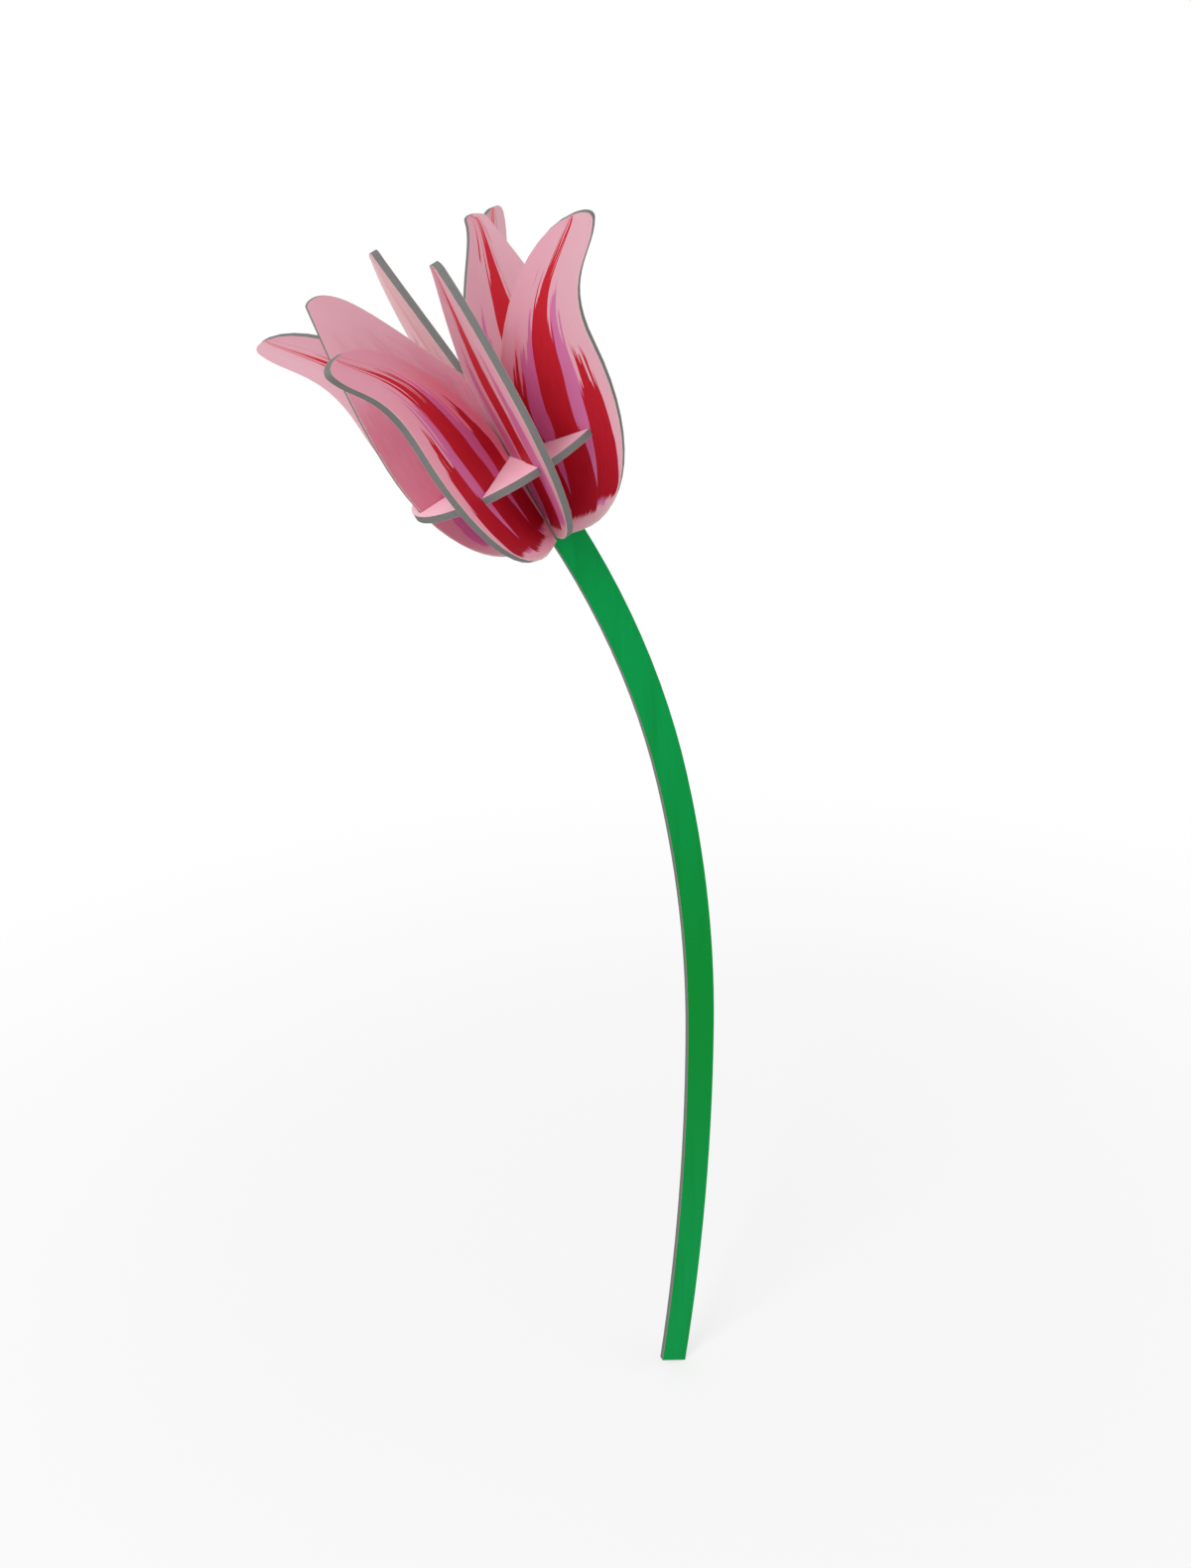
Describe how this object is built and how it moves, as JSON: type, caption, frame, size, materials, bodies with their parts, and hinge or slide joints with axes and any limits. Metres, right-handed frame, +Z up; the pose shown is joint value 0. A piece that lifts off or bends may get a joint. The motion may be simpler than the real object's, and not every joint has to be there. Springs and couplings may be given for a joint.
{
  "type": "cardboard tulip model",
  "caption": "Slot-together tulip of flat printed greyboard: flared and straight half petals stand radially in a slotted oval disc on a flat curved stem with a slant-cut foot.",
  "frame": {"origin": "middle of the slanted cut across the stem's foot", "axes": "+Z up the stem; X in the plane of the flat stem, the head leans towards -X; Y across the stem's thickness, +Y away from the viewer"},
  "size_m": [0.1105, 0.0724, 0.3856],
  "materials": {
    "green_board": "matt print on board",
    "disc_board": "matt print on board",
    "petal_board": "matt print on board, with brushed red streaks"
  },
  "bodies": {
    "root": {"stem": "green_board", "disc": "disc_board", "flared_petal_right": "petal_board", "flared_petal_left": "petal_board", "flared_petal_far_left": "petal_board", "flared_petal_far_right": "petal_board", "straight_petal_near": "petal_board", "straight_petal_far": "petal_board", "straight_petal_left": "petal_board", "straight_petal_right": "petal_board"}
  },
  "joints": []
}
